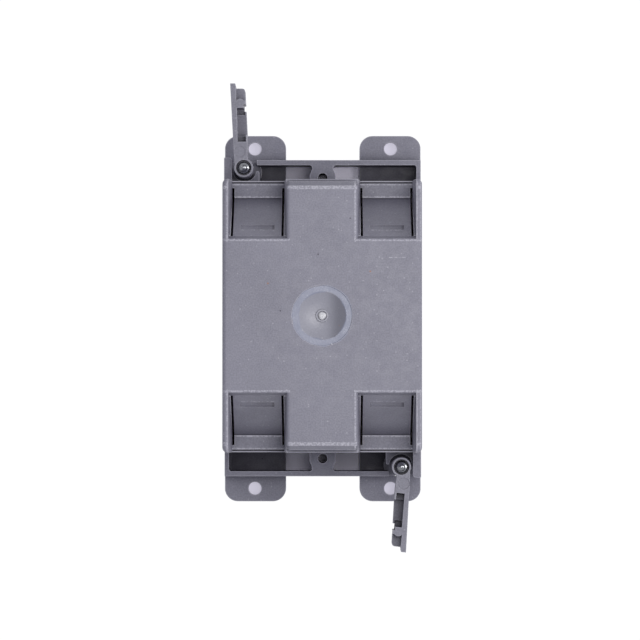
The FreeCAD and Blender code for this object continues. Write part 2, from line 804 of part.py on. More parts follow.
def clamp_screw(name, side):
    """One clamp screw: a pan head with a cross recess at the front, and a pointed shank."""
    body = new_body(name)
    profile = sketch_on(body, "XZ_Plane", name + "_profile")
    head = "screw_head / 2"
    front = "screw_head_sink"
    seat = "(screw_head_sink + screw_head_height)"
    outline(profile, [
        ("0", front), (f"{head} - screw_head_round", front), (head, f"{front} + screw_head_round"),
        (head, seat), ("screw / 2", seat), ("screw / 2", "screw_tip_level - screw_point"),
        ("screw_point_width / 2", "screw_tip_level"), ("0", "screw_tip_level"),
    ])
    turned_shape = body.newObject("PartDesign::Revolution", name + "_turned")
    turned_shape.Profile = profile
    turned_shape.ReferenceAxis = (profile, ["V_Axis"])
    turned_shape.Angle = 360
    long_side = both("screw_slot_length / 2")
    short_side = both("screw_slot_width / 2")
    for label, x, y in (("a", long_side, short_side), ("b", short_side, long_side)):
        slot = sketch_on(body, "XY_Plane", f"{name}_slot_{label}", front)
        outline(slot, rectangle(x, y))
        pocket(body, slot, "screw_slot_depth", reverse=True)
    bind(body, {
        "Placement.Base.x": f"{-side} * screw_across",
        "Placement.Base.y": f"{side} * screw_along",
    })
    return body


def check(items):
    """Stop if any object failed or any finished piece has no sound solid."""
    for item in doc.Objects:
        if "Invalid" in item.State or "Error" in item.State:
            raise RuntimeError(f"{item.Name} failed: {item.State}")
    for item in items:
        if item.Shape.isNull() or not item.Shape.isValid() or len(item.Shape.Solids) != 1:
            raise RuntimeError(f"{item.Label} is not one sound solid")


def main():
    """Build every piece, check it and write it out."""
    pieces = [box_body()]
    for across, along in CORNERS:
        name = f"cable_flap_{'upper' if along > 0 else 'lower'}_{'right' if across > 0 else 'left'}"
        pieces.append(cable_flap(name, across, along))
    for end, side in (("upper", 1), ("lower", -1)):
        pieces.append(wing(f"clamp_wing_{end}", side))
        pieces.append(clamp_screw(f"clamp_screw_{end}", side))
    doc.recompute()
    check(pieces)
    os.makedirs("parts", exist_ok=True)
    for piece in pieces:
        piece.Shape.exportStep(f"parts/{piece.Label}.step")
        print(piece.Label, round(piece.Shape.Volume, 1), piece.Shape.BoundBox)


main()
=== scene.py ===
"""Looks of a plastic switch box for finished walls, seen from its back panel.

The box stands on its open front. Every length is in metres, in the frame of the model:
+Z points from the open front to the back panel, +Y to the upper end and +X to the right.
"""
from __future__ import annotations

import logging
import math
from collections.abc import Callable
from dataclasses import dataclass, field
from enum import Enum

import bpy
import bmesh
import numpy as np
from mathutils import Matrix, Vector

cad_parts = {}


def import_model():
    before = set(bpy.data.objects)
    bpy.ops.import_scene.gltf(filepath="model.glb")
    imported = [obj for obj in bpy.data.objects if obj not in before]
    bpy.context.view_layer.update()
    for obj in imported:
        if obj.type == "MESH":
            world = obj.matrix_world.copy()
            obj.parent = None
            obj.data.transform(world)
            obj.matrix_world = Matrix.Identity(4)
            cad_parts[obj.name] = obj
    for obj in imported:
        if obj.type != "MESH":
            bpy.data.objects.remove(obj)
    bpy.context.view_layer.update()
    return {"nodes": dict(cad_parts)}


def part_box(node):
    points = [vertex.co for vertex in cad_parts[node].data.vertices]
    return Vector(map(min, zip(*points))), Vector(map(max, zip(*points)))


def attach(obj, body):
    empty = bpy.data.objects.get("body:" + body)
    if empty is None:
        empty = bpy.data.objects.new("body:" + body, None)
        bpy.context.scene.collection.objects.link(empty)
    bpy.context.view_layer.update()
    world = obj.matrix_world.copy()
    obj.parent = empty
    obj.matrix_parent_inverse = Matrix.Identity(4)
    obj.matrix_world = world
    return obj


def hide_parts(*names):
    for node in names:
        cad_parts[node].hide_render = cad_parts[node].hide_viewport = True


MM = 0.001
log = logging.getLogger("switch_box")

Colour = tuple[float, float, float]
Place = tuple[float, float, float]
Value = float | bpy.types.NodeSocket
Tint = Colour | bpy.types.NodeSocket
# where smooth noise mostly lies
NOISE = (0.3, 0.7)


class End(Enum):
    """The two ends of the box, with the sign of Y there."""

    UPPER = 1
    LOWER = -1

    @property
    def word(self) -> str:
        """The end's name as it is used in the names of pieces."""
        return self.name.lower()


def linear(red: int, green: int, blue: int) -> Colour:
    """Turn a display colour of 0 to 255 into linear values.

    Args:
        red: the red channel.
        green: the green channel.
        blue: the blue channel.

    Returns:
        The three linear channels: each is ((c + 0.055) / 1.055) to the power 2.4, or c / 12.92 near black.
    """
    channels = np.array([red, green, blue]) / 255.0
    values = np.where(channels <= 0.04045, channels / 12.92, ((channels + 0.055) / 1.055) ** 2.4)
    return tuple(float(value) for value in values)


class Axis(Enum):
    """The two directions along the back panel, with their places in a list of coordinates."""

    X = 0
    Y = 1


@dataclass(frozen=True)
class Specks:
    """One kind of stray speck."""

    cells: float
    """How many cells of a random grid there are in a metre."""
    share: float
    """The share of the cells that hold a speck."""
    radius: float
    """A speck's radius as a share of a cell."""
    colour: Colour
    amount: float = 1.0
    """How strongly a speck shows."""


@dataclass(frozen=True)
class Marks:
    """Round marks of one kind on the back panel."""

    places: tuple[tuple[float, float], ...]
    """The marks' middles, in millimetres."""
    radius: float
    colour: Colour


@dataclass(frozen=True)
class HighlightRim:
    """A painted highlight along a rim of a cable entry, with its ranges in millimetres."""

    across: Axis
    """The axis that the rim is narrow along. Along Y the range is the same at both ends of the box."""
    near: float
    far: float
    low: float
    high: float
    gain: float
    # How strongly its beads of painted highlight show.
    """How strongly its beads show."""
    beside_tongue: bool = False
    """Whether the rim stops at the sides of the panel's tongue."""


# Mesh helpers


def surface(name: str, points: np.ndarray) -> bpy.types.Object:
    """Make an object from a grid of points that closes round on itself along its second axis.

    Args:
        name: the object's name.
        points: the grid, as rows by columns by three. The first and the last row are each one single point.

    Returns:
        The object, linked to the scene, with smooth shading and its normals outwards.
    """
    rows, columns = points.shape[:2]
    row, column = np.meshgrid(np.arange(rows - 1), np.arange(columns), indexing="ij")
    after = (column + 1) % columns
    quads = np.stack([
        row * columns + column, row * columns + after,
        (row + 1) * columns + after, (row + 1) * columns + column,
    ], axis=-1).reshape(-1, 4)
    mesh = bpy.data.meshes.new(name)
    mesh.from_pydata(points.reshape(-1, 3).tolist(), [], quads.tolist())
    merge_poles(mesh)
    mesh.polygons.foreach_set("use_smooth", np.ones(len(mesh.polygons), bool))
    piece = bpy.data.objects.new(name, mesh)
    bpy.context.scene.collection.objects.link(piece)
    return piece


def merge_poles(mesh: bpy.types.Mesh) -> None:
    """Merge the points that coincide at a surface's poles and turn its faces outwards.

    Args:
        mesh: the mesh to clean.
    """
    work = bmesh.new()
    work.from_mesh(mesh)
    bmesh.ops.remove_doubles(work, verts=work.verts, dist=1e-7)
    bmesh.ops.recalc_face_normals(work, faces=work.faces)
    work.to_mesh(mesh)
    work.free()


# Finishes


class NodeTree:
    """A short way to add and join the nodes of one material."""

    def __init__(self, name: str) -> None:
        """Start a material that holds only its output and one surface shader.

        Args:
            name: the material's name.
        """
        self.material = bpy.data.materials.new(name)
        self.material.use_nodes = True
        self.tree = self.material.node_tree
        self.shader = self.tree.nodes["Principled BSDF"]
        self.output = self.tree.nodes["Material Output"]
        self.place = self.add("ShaderNodeTexCoord").outputs["Object"]
        self.tint: Tint = (0.5, 0.5, 0.5)
        # how strongly each place gets a painted highlight on its edges and rims
        self.painted_highlight: Value = 0.0
        self.gloss: Value = 0.5
        self.relief: list[tuple[bpy.types.NodeSocket, float, float]] = []

    def add(self, kind: str, inputs: dict[str | int, object] | None = None,
            **settings: object) -> bpy.types.Node:
        """Add a node.

        Args:
            kind: the node's type.
            inputs: a value or an output for each named or numbered input.
            settings: the node's own settings.

        Returns:
            The node.
        """
        node = self.tree.nodes.new(kind)
        for key, setting in settings.items():
            setattr(node, key, setting)
        for key, given in (inputs or {}).items():
            if isinstance(given, bpy.types.NodeSocket):
                self.tree.links.new(given, node.inputs[key])
            else:
                node.inputs[key].default_value = given
        return node

    def math(self, operation: str, *values: Value) -> bpy.types.NodeSocket:
        """Work out one number from others.

        Args:
            operation: what the Math node does.
            values: its inputs, each a number or an output.

        Returns:
            The result's output.
        """
        node = self.add("ShaderNodeMath", dict(enumerate(values)), operation=operation)
        return node.outputs[0]

    def all_of(self, first: Value, *others: Value) -> bpy.types.NodeSocket:
        """Multiply masks and amounts.

        Args:
            first: a mask's output or a number.
            others: the masks and numbers that it is multiplied by.

        Returns:
            The product's output.
        """
        for other in others:
            first = self.math("MULTIPLY", first, other)
        return first

    def ramp(self, value: Value, low: float, high: float, start: float = 0.0,
             end: float = 1.0) -> bpy.types.NodeSocket:
        """Map a number smoothly from one range to another and hold it at the ends.

        Args:
            value: the number's output.
            low: where the range starts.
            high: where the range ends.
            start: the result at low.
            end: the result at high.

        Returns:
            The result's output.
        """
        node = self.add("ShaderNodeMapRange", {0: value, 1: low, 2: high, 3: start, 4: end},
                        interpolation_type="SMOOTHSTEP")
        return node.outputs[0]

    def noise(self, scale: float, detail: float) -> bpy.types.NodeSocket:
        """Smooth noise over the piece.

        Args:
            scale: how many features there are in a metre.
            detail: how many finer layers it has.

        Returns:
            The noise's output, about 0.5 on average.
        """
        node = self.add("ShaderNodeTexNoise", {"Vector": self.place, "Scale": scale, "Detail": detail})
        return node.outputs["Fac"]

    def blend(self, amount: Value, first: Tint, second: Tint) -> bpy.types.NodeSocket:
        """Mix two colours.

        Args:
            amount: how much of the second there is.
            first: a colour or an output.
            second: a colour or an output.

        Returns:
            The mixed colour's output.
        """
        node = self.add("ShaderNodeMix", data_type="RGBA")
        for index, given in ((0, amount), (6, first), (7, second)):
            if isinstance(given, bpy.types.NodeSocket):
                self.tree.links.new(given, node.inputs[index])
            elif index == 0:
                node.inputs[index].default_value = given
            else:
                node.inputs[index].default_value = (*given, 1.0)
        return node.outputs[2]

    def paint(self, amount: Value, colour: Tint) -> None:
        """Blend a colour into the tint so far.

        Args:
            amount: how much of the colour there is.
            colour: the colour.
        """
        self.tint = self.blend(amount, self.tint, colour)

    def scatter(self, kind: Specks) -> None:
        """Paint small round specks in a few cells of a random grid.

        Args:
            kind: the specks.
        """
        cells = self.add("ShaderNodeTexVoronoi", {"Vector": self.place, "Scale": kind.cells})
        draw = self.add("ShaderNodeSeparateColor", {0: cells.outputs["Color"]}).outputs[0]
        chosen = self.math("LESS_THAN", draw, kind.share)
        near = self.ramp(cells.outputs["Distance"], kind.radius, kind.radius * 0.6)
        self.paint(self.all_of(chosen, near, kind.amount), kind.colour)

    def coordinates(self) -> tuple[bpy.types.NodeSocket, ...]:
        """The place on the piece as three numbers: x, y and z."""
        return tuple(self.add("ShaderNodeSeparateXYZ", {0: self.place}).outputs)

    def inside(self, value: bpy.types.NodeSocket, half: float) -> bpy.types.NodeSocket:
        """Where a number is within a distance of 0.

        Args:
            value: the number's output.
            half: the distance.

        Returns:
            A mask that is 1 there.
        """
        return self.math("LESS_THAN", self.math("ABSOLUTE", value), half)

    def spot(self, centre: Place, radius: float) -> bpy.types.NodeSocket:
        """A round mark at one place of the piece.

        Args:
            centre: the mark's middle.
            radius: its radius.

        Returns:
            A mask that is 1 in the mark.
        """
        away = self.add("ShaderNodeVectorMath", {0: self.place, 1: centre}, operation="DISTANCE")
        return self.ramp(away.outputs["Value"], radius * 1.3, radius * 0.6)

    def streak(self, start: Place, end: Place, radius: float) -> bpy.types.NodeSocket:
        """A straight thin mark between two places of the piece.

        Args:
            start: one end of the mark.
            end: its other end.
            radius: half its width.

        Returns:
            A mask that is 1 in the mark: the distance to the nearest point of the line is under the radius.
        """
        line = Vector(end) - Vector(start)
        away = self.add("ShaderNodeVectorMath", {0: self.place, 1: start}, operation="SUBTRACT").outputs[0]
        along = self.add("ShaderNodeVectorMath", {0: away, 1: line}, operation="DOT_PRODUCT").outputs["Value"]
        share = self.add("ShaderNodeMapRange", {0: along, 1: 0.0, 2: line.length_squared}).outputs[0]
        foot_shade = self.add("ShaderNodeVectorMath", {0: line, "Scale": share}, operation="SCALE").outputs[0]
        reach = self.add("ShaderNodeVectorMath", {0: away, 1: foot_shade}, operation="DISTANCE").outputs["Value"]
        return self.ramp(reach, radius, radius * 0.4)

    def band(self, value: Value, low: float, high: float) -> bpy.types.NodeSocket:
        """Where a number lies in a range, with short soft ends.

        Args:
            value: the number's output.
            low: where the range starts.
            high: where it ends.

        Returns:
            A mask that is 1 in the range.
        """
        soft = 0.08 * MM
        above = self.ramp(value, low - soft, low + soft)
        below = self.ramp(value, high + soft, high - soft)
        return self.math("MULTIPLY", above, below)

    def edges(self, width: float) -> bpy.types.NodeSocket:
        """Where the piece has an outer edge or corner.

        Args:
            width: how far from the edge the mask reaches.

        Returns:
            A mask that is 1 at the edge and falls to 0 at that distance.
        """
        buried = self.add("ShaderNodeAmbientOcclusion", {"Distance": width}, samples=8, inside=True,
                          only_local=True).outputs["AO"]
        return self.ramp(buried, 0.97, 0.55)

    def cavity(self, reach: float) -> bpy.types.NodeSocket:
        """How open the piece is at each place.

        Args:
            reach: how far away its own walls still count.

        Returns:
            An output that is 1 in the open and falls towards 0 deep between walls.
        """
        return self.add("ShaderNodeAmbientOcclusion", {"Distance": reach}, samples=6,
                        only_local=True).outputs["AO"]

    def bump(self, rounding: float = 0.0) -> bpy.types.NodeSocket:
        """Stack the reliefs, each given by its height output, its strength and its depth in metres.

        Args:
            rounding: the radius that sharp edges seem to have.

        Returns:
            The last relief's normal output.
        """
        normal = None
        if rounding:
            normal = self.add("ShaderNodeBevel", {"Radius": rounding}, samples=6).outputs[0]
        for height, strength, depth in self.relief:
            inputs = {"Height": height, "Strength": strength, "Distance": depth}
            if normal is not None:
                inputs["Normal"] = normal
            normal = self.add("ShaderNodeBump", inputs).outputs[0]
        return normal

    def join(self, rounding: float = 0.0) -> bpy.types.Material:
        """Join the tint, the gloss and the reliefs to the shader.

        Args:
            rounding: the radius that sharp edges seem to have.

        Returns:
            The material.
        """
        normal = self.bump(rounding)
        for output, name in ((self.tint, "Base Color"), (self.gloss, "Roughness"), (normal, "Normal")):
            if isinstance(output, bpy.types.NodeSocket):
                self.tree.links.new(output, self.shader.inputs[name])
            else:
                self.shader.inputs[name].default_value = output
        return self.material


@dataclass(frozen=True)
class MouldedPlastic:
    """Grey moulded plastic with a fine matt grain, faint flow clouds, stray specks, painted glints of the
    grain, painted highlights along its edges and painted shade in its deep corners.
    """

    name: str
    colour: Colour = linear(146, 145, 159)
    roughness: float = 0.46
    gloss_patches: float = 420.0
    gloss_more: float = 0.05
    gloss_less: float = 0.06
    clouds: float = 55.0
    cloud_depth: float = 0.04
    cloud_relief: tuple[float, float] = (0.25, 0.2 * MM)
    dimples: float = 900.0
    dimple_relief: tuple[float, float] = (0.3, 0.06 * MM)
    grain: float = 2300.0
    grain_depth: float = 0.1
    grain_relief: tuple[float, float] = (0.6, 0.04 * MM)
    specks: tuple[Specks, ...] = (
        Specks(330.0, 0.035, 0.075, linear(78, 74, 82)),
        Specks(290.0, 0.03, 0.08, linear(205, 204, 212)),
        Specks(210.0, 0.012, 0.05, linear(176, 122, 84)),
        # pale sparkles of the grain: painted glints, a painted highlight
        Specks(1300.0, 0.05, 0.34, linear(212, 211, 220), 0.35),
    )
    edge_width: float = 0.34 * MM
    edge_round: float = 0.28 * MM
    # painted highlight along the outer edges
    edge_highlight_gain: float = 0.55
    edge_highlight_colour: Colour = linear(236, 235, 246)
    # painted shade in deep corners and recesses, between the piece's own walls
    cavity_shade_depth: float = 0.94
    cavity_open: float = 0.78
    cavity_reach: float = 9.0 * MM
    cavity_shade_colour: Colour = linear(36, 32, 54)
    refraction: float = 1.49

    def tree(self) -> NodeTree:
        """Build the material's nodes.

        Returns:
            The nodes, with the tint, the gloss, the reliefs and how strongly each place gets a painted
            highlight.
        """
        nodes = NodeTree(self.name)
        clouds = nodes.noise(self.clouds, 4.0)
        grain = nodes.noise(self.grain, 2.0)
        shade = nodes.math("ADD", nodes.ramp(clouds, *NOISE, 1.0 - self.cloud_depth, 1.0 + self.cloud_depth),
                           nodes.ramp(grain, *NOISE, -self.grain_depth, self.grain_depth))
        nodes.tint = nodes.add("ShaderNodeVectorMath", {0: self.colour, "Scale": shade},
                               operation="SCALE").outputs[0]
        for kind in self.specks:
            nodes.scatter(kind)
        # painted highlight along the outer edges
        nodes.painted_highlight = nodes.math("MULTIPLY", nodes.edges(self.edge_width), self.edge_highlight_gain)
        patches = nodes.noise(self.gloss_patches, 3.0)
        nodes.gloss = nodes.ramp(patches, *NOISE, self.roughness - self.gloss_more,
                                 self.roughness + self.gloss_less)
        nodes.relief = [(clouds, *self.cloud_relief), (nodes.noise(self.dimples, 2.0), *self.dimple_relief),
                        (grain, *self.grain_relief)]
        return nodes

    def finish(self, nodes: NodeTree) -> bpy.types.Material:
        """Paint shade into the deep places, paint the highlights into the tint and join everything to the
        shader.

        Args:
            nodes: the nodes made by tree, perhaps changed since.

        Returns:
            The material.
        """
        openness = nodes.cavity(self.cavity_reach)
        # painted shade where the piece's own walls close round
        nodes.paint(nodes.ramp(openness, 0.0, self.cavity_open, self.cavity_shade_depth, 0.0), self.cavity_shade_colour)
        # paint the highlights into the tint
        nodes.paint(nodes.painted_highlight, self.edge_highlight_colour)
        nodes.shader.inputs["IOR"].default_value = self.refraction
        return nodes.join(self.edge_round)

    def material(self) -> bpy.types.Material:
        """The finished material."""
        return self.finish(self.tree())


@dataclass(frozen=True)
class GatedPlastic(MouldedPlastic):
    """The box's own plastic, with the bluish ring round its gate and scuffs on its panel; painted highlights
    along its rims, painted sheen and shade in the gate's dish, and painted shade at the tongue's ends and
    down the end frames' windows.
    """

    panel: float = 70.0 * MM
    panel_level: float = 68.4 * MM
    ring_inner: float = 6.7 * MM
    ring_outer: float = 8.55 * MM
    ring_wobble: float = 0.25 * MM
    ring_amount: float = 0.75
    ring_colour: Colour = linear(148, 153, 176)
    # painted sheen in the gate's dish
    dish_sheen_amount: float = 0.6
    dish_sheen_colour: Colour = linear(172, 173, 184)
    dish_gloss: float = 0.16
    dish_plain: float = 0.85
    # painted shade on the right side of the gate's dish; the same colour is the painted shade at the tongue's
    # ends
    crescent_start: float = 0.5 * MM
    crescent_end: float = 5.0 * MM
    crescent_shade_amount: float = 0.55
    dish_and_tongue_shade_colour: Colour = linear(98, 98, 110)
    mark_amount: float = 0.8
    marks: tuple[Marks, ...] = (
        Marks(((13.56, 12.46), (-15.27, 9.09)), 0.26 * MM, linear(170, 122, 96)),
        Marks(((-1.13, 17.25), (-11.76, 1.36), (7.88, 27.4), (3.57, -5.73)), 0.24 * MM, linear(84, 80, 90)),
        Marks(((2.73, -7.98), (-26.2, -33.0)), 0.24 * MM, linear(214, 213, 222)),
    )
    scratch_start: Place = (18.8 * MM, 16.35 * MM, 70.0 * MM)
    scratch_end: Place = (23.5 * MM, 16.4 * MM, 70.0 * MM)
    scratch_half: float = 0.13 * MM
    scratch_colour: Colour = linear(220, 219, 228)
    # painted shade on the tongue's rounded ends
    roll_near: float = 36.6 * MM
    roll_far: float = 38.4 * MM
    roll_half: float = 10.0 * MM
    roll_level: float = 67.0 * MM
    roll_shade_amount: float = 0.5
    # painted shade on the ears seen down the end frames' windows
    window_half: float = 27.2 * MM
    window_near: float = 38.0 * MM
    window_far: float = 45.4 * MM
    window_top: float = 3.2 * MM
    window_shade_amount: float = 0.45
    window_shade_colour: Colour = linear(34, 28, 58)
    tongue_half: float = 9.0 * MM
    # painted highlights in rows of beads along the rims of the entries
    beads: float = 1700.0
    highlight_start: float = 20.8 * MM
    rims: tuple[HighlightRim, ...] = (
        HighlightRim(Axis.Y, 34.0, 34.55, 48.4, 49.3, 0.5),
        HighlightRim(Axis.Y, 37.65, 38.12, 48.4, 49.3, 0.4),
        HighlightRim(Axis.Y, 38.62, 39.1, 48.4, 49.3, 0.4),
        HighlightRim(Axis.Y, 35.6, 36.6, 69.6, 70.3, 0.4),
        HighlightRim(Axis.Y, 21.0, 21.65, 69.4, 70.3, 0.4, beside_tongue=True),
        HighlightRim(Axis.X, -27.05, -26.5, 69.4, 70.3, 0.3),
        HighlightRim(Axis.X, 26.55, 26.9, 69.4, 70.3, 0.3),
        HighlightRim(Axis.X, 27.5, 27.85, 69.2, 70.3, 0.3),
        HighlightRim(Axis.X, 9.1, 9.45, 69.4, 70.3, 0.45),
    )

    def material(self) -> bpy.types.Material:
        """The box's finished material."""
        nodes = self.tree()
        across, along, height = nodes.coordinates()
        ends = nodes.math("ABSOLUTE", along)
        self.gate(nodes, across, along, height)
        self.scuffs(nodes)
        # painted shade on the tongue's rounded ends
        roll_shade = nodes.all_of(nodes.band(ends, self.roll_near, self.roll_far),
                            nodes.inside(across, self.roll_half),
                            nodes.math("GREATER_THAN", height, self.roll_level))
        nodes.paint(nodes.math("MULTIPLY", roll_shade, self.roll_shade_amount), self.dish_and_tongue_shade_colour)
        # painted shade on the ears seen down the end frames' windows
        window_shade = nodes.all_of(nodes.band(ends, self.window_near, self.window_far),
                              nodes.math("LESS_THAN", height, self.window_top),
                              nodes.inside(across, self.window_half))
        nodes.paint(nodes.math("MULTIPLY", window_shade, self.window_shade_amount), self.window_shade_colour)
        # painted highlights along the rims of the entries
        self.paint_rim_highlights(nodes, across, ends, height)
        return self.finish(nodes)

    def gate(self, nodes: NodeTree, across: Value, along: Value, height: Value) -> None:
        """Paint a sheen into the gate's smooth dish and shade into its right side, and tint the bluish ring
        round it.

        The ring lies where the distance from the axis, with a little noise, is between its two radii.

        Args:
            nodes: the nodes made by tree.
            across: the output of x.
            along: the output of y.
            height: the output of z.
        """
        flat = nodes.add("ShaderNodeCombineXYZ", {0: across, 1: along}).outputs[0]
        reach = nodes.add("ShaderNodeVectorMath", {0: flat}, operation="LENGTH").outputs["Value"]
        high = nodes.math("GREATER_THAN", height, self.panel_level)
        wobble = nodes.ramp(nodes.noise(260.0, 2.0), *NOISE, -self.ring_wobble, self.ring_wobble)
        uneven = nodes.math("ADD", reach, wobble)
        past = nodes.ramp(uneven, self.ring_inner - 0.2 * MM, self.ring_inner + 0.2 * MM)
        within = nodes.ramp(uneven, self.ring_outer + 0.1 * MM, self.ring_outer - 0.1 * MM)
        dish = nodes.all_of(nodes.ramp(reach, self.ring_outer, self.ring_outer - 0.3 * MM), high)
        # painted sheen in the dish
        nodes.paint(nodes.math("MULTIPLY", dish, self.dish_sheen_amount), self.dish_sheen_colour)
        # painted shade on the dish's right side
        side = nodes.ramp(across, self.crescent_start, self.crescent_end, 0.0, self.crescent_shade_amount)
        nodes.paint(nodes.math("MULTIPLY", dish, side), self.dish_and_tongue_shade_colour)
        nodes.paint(nodes.all_of(past, within, high, self.ring_amount), self.ring_colour)
        nodes.gloss = nodes.math("SUBTRACT", nodes.gloss, nodes.math("MULTIPLY", dish, self.dish_gloss))
        plain = nodes.math("SUBTRACT", 1.0, nodes.math("MULTIPLY", dish, self.dish_plain))
        nodes.painted_highlight = nodes.math("MULTIPLY", nodes.painted_highlight, plain)

    def scuffs(self, nodes: NodeTree) -> None:
        """Paint the marks and the broken scratch on the back panel.

        Args:
            nodes: the nodes made by tree.
        """
        for kind in self.marks:
            for across, along in kind.places:
                mark = nodes.spot((across * MM, along * MM, self.panel), kind.radius)
                nodes.paint(nodes.math("MULTIPLY", mark, self.mark_amount), kind.colour)
        scratch = nodes.streak(self.scratch_start, self.scratch_end, self.scratch_half)
        gaps = nodes.ramp(nodes.noise(900.0, 2.0), 0.42, 0.58, 0.15, 0.6)
        nodes.paint(nodes.math("MULTIPLY", scratch, gaps), self.scratch_colour)

    def paint_rim_highlights(self, nodes: NodeTree, across: Value, ends: Value, height: Value) -> None:
        """Paint highlights along the rims of the entries, broken into rows of pale beads.

        Args:
            nodes: the nodes made by tree.
            across: the output of x.
            ends: the output of the distance from the middle along y.
            height: the output of z.
        """
        beads = nodes.ramp(nodes.noise(self.beads, 2.0), 0.4, 0.6, 0.3, 1.1)
        beads = nodes.math("MULTIPLY", beads, nodes.math("GREATER_THAN", ends, self.highlight_start))
        beside = nodes.math("GREATER_THAN", nodes.math("ABSOLUTE", across), self.tongue_half)
        place = {Axis.X: across, Axis.Y: ends}
        for rim in self.rims:
            mask = nodes.all_of(nodes.band(place[rim.across], rim.near * MM, rim.far * MM),
                                nodes.band(height, rim.low * MM, rim.high * MM))
            if rim.beside_tongue:
                mask = nodes.math("MULTIPLY", mask, beside)
            nodes.painted_highlight = nodes.math("MAXIMUM", nodes.painted_highlight, nodes.all_of(mask, beads, rim.gain))


@dataclass(frozen=True)
class FlapPlastic(MouldedPlastic):
    """The flaps' plastic, with painted shade at their feet and towards the right end of their pry pockets,
    and a painted highlight along the pockets' near rim.
    """

    middle: float = 18.37 * MM
    foot_start: float = 29.8 * MM
    foot_end: float = 34.2 * MM
    foot_shade_amount: float = 0.4
    pocket_half: float = 4.8 * MM
    pocket_near: float = 24.45 * MM
    pocket_far: float = 25.8 * MM
    pocket_shade_amount: float = 0.22
    pocket_end: float = 0.9 * MM
    pocket_end_full: float = 0.4 * MM
    pocket_end_shade_amount: float = 0.45
    rim_width: float = 0.35 * MM
    shade_colour: Colour = linear(66, 62, 76)

    def material(self) -> bpy.types.Material:
        """Build the flaps' material.

        Returns:
            The material: its painted shade grows towards the hinge, and in the pocket towards +X.
        """
        nodes = self.tree()
        across, along, _ = nodes.coordinates()
        ends = nodes.math("ABSOLUTE", along)
        foot_shade = nodes.ramp(ends, self.foot_start, self.foot_end, 0.0, self.foot_shade_amount)
        own_middle = nodes.math("MULTIPLY", nodes.math("SIGN", across), self.middle)
        local = nodes.math("SUBTRACT", across, own_middle)
        half = self.pocket_half
        wide = nodes.band(local, -half, half)
        end = nodes.ramp(local, half - self.pocket_end, half - self.pocket_end_full, 0.0,
                         self.pocket_end_shade_amount)
        depth = nodes.math("ADD", nodes.ramp(local, -half, half, 0.0, self.pocket_shade_amount), end)
        pocket = nodes.all_of(wide, nodes.band(ends, self.pocket_near, self.pocket_far), depth)
        # painted shade at the feet and in the pry pockets
        nodes.paint(nodes.math("MAXIMUM", foot_shade, pocket), self.shade_colour)
        # painted highlight in beads along the pry pocket's near rim
        rim = nodes.all_of(wide, nodes.band(ends, self.pocket_near - self.rim_width, self.pocket_near))
        beads = nodes.ramp(nodes.noise(1500.0, 2.0), 0.45, 0.6, 0.0, 0.3)
        nodes.painted_highlight = nodes.math("MAXIMUM", nodes.painted_highlight, nodes.math("MULTIPLY", rim, beads))
        return self.finish(nodes)


@dataclass(frozen=True)
class WhitenedPlastic:
    """Plastic whitened by stress where the sprue was broken off."""

    name: str = "whitened_sprue"
    colour: Colour = linear(250, 250, 252)
    torn_colour: Colour = linear(205, 205, 214)
    roughness: float = 0.62
    relief: tuple[float, float] = (0.6, 0.1 * MM)

    def material(self) -> bpy.types.Material:
        """Build the broken, frosted finish.

        Returns:
            The material.
        """
        nodes = NodeTree(self.name)
        torn = nodes.noise(3200.0, 4.0)
        nodes.tint = nodes.blend(nodes.ramp(torn, 0.35, 0.6), self.torn_colour, self.colour)
        nodes.gloss = self.roughness
        nodes.relief = [(torn, *self.relief)]
        return nodes.join()


@dataclass(frozen=True)
class BrightZinc:
    """Bright zinc plate on a rolled thread, a little scuffed."""

    name: str = "bright_zinc"
    colour: Colour = (0.6, 0.61, 0.63)
    scuffed_colour: Colour = (0.42, 0.43, 0.46)
    smooth: float = 0.14
    dull: float = 0.32
    relief: tuple[float, float] = (0.2, 0.02 * MM)

    def material(self) -> bpy.types.Material:
        """Build the plate's finish.

        Returns:
            The material.
        """
        nodes = NodeTree(self.name)
        scuffs = nodes.noise(2600.0, 4.0)
        nodes.tint = nodes.blend(nodes.ramp(scuffs, 0.4, 0.7), self.colour, self.scuffed_colour)
        nodes.shader.inputs["Metallic"].default_value = 1.0
        nodes.gloss = nodes.ramp(nodes.noise(700.0, 3.0), *NOISE, self.smooth, self.dull)
        nodes.relief = [(scuffs, *self.relief)]
        return nodes.join()


# Pieces of the object


@dataclass
class MouldedBox:
    """The one moulding: box, ears, end frames and cable ledges."""

    nodes: dict[str, bpy.types.Object]
    sprue_level: float = 68.95 * MM
    sprue_radius: float = 1.12 * MM
    sprue_height: float = 0.55 * MM
    sprue_waver: float = 0.06
    sprue_rough: float = 0.16
    sprue_rows: int = 14
    sprue_columns: int = 40

    def build(self) -> list[bpy.types.Object]:
        """Dress the moulding and add the broken sprue.

        Returns:
            The dressed and new pieces.
        """
        body = self.nodes["box_body"]
        dress(body, GatedPlastic("box_plastic").material())
        return [body, self.sprue()]

    def sprue(self) -> bpy.types.Object:
        """The torn stub in the middle of the gate.

        A point at angle a and share s from the middle lies at s times the radius, and its height is the
        stub's height times (1 - s^4), roughened by a few waves.

        Returns:
            The stub.
        """
        around = np.linspace(0, math.tau, self.sprue_columns, endpoint=False)
        share, angle = np.meshgrid(np.linspace(0, 1, self.sprue_rows), around, indexing="ij")
        reach = self.sprue_radius * share * (1 + self.sprue_waver * share * np.sin(3 * angle + 0.7))
        rough = self.sprue_rough * np.sin(7 * share + 2 * angle) * share * (1 - share)
        rise = self.sprue_height * (1 - share ** 4) * (1 + rough)
        points = np.stack([reach * np.cos(angle), reach * np.sin(angle), self.sprue_level + rise], axis=-1)
        piece = surface("broken_sprue", closed_below(points, self.sprue_level - 0.1 * MM))
        return settle(piece, "root", WhitenedPlastic().material())


